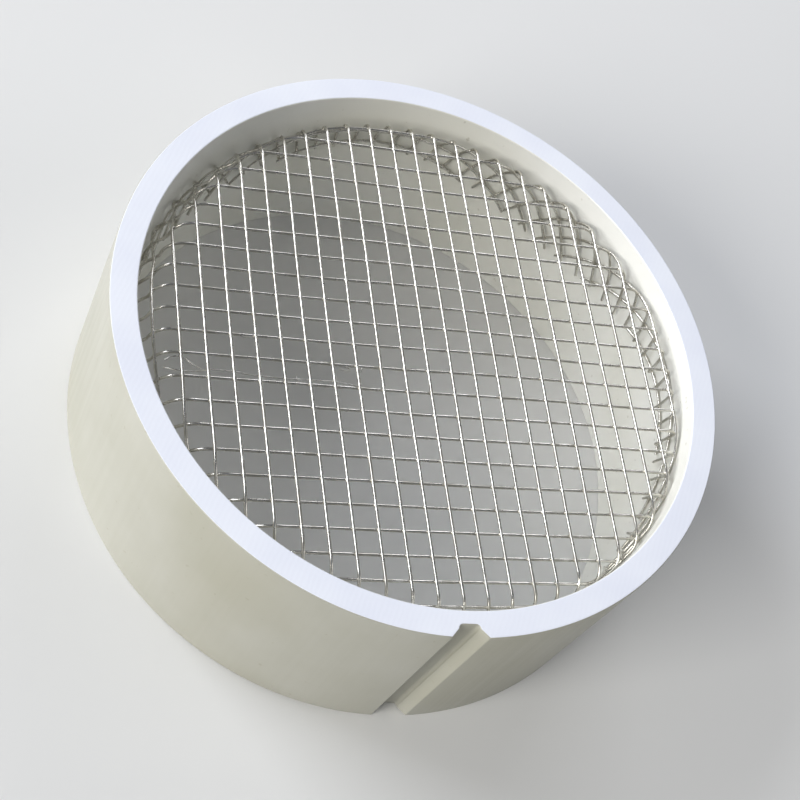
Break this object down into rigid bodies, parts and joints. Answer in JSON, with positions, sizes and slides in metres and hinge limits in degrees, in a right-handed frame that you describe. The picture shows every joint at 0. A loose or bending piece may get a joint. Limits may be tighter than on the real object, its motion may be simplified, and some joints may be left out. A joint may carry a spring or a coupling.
{
  "type": "pipe vent screen",
  "caption": "Short ring of rigid plastic pipe with a welded wire mesh screen folded back into its bore and a locating groove down its outer wall.",
  "frame": {"origin": "centre of the ring's back face, on the pipe's axis", "axes": "+Z along the pipe's axis to the open front face, just past the screen; -Y through the locating groove"},
  "size_m": [0.1683, 0.1681, 0.0572],
  "materials": {
    "pvc": "extruded rigid PVC, satin wall and sawn ends",
    "wire": "drawn steel wire, bright"
  },
  "bodies": {
    "root": {"pvc_ring": "pvc", "wire_screen": "wire"}
  },
  "joints": []
}
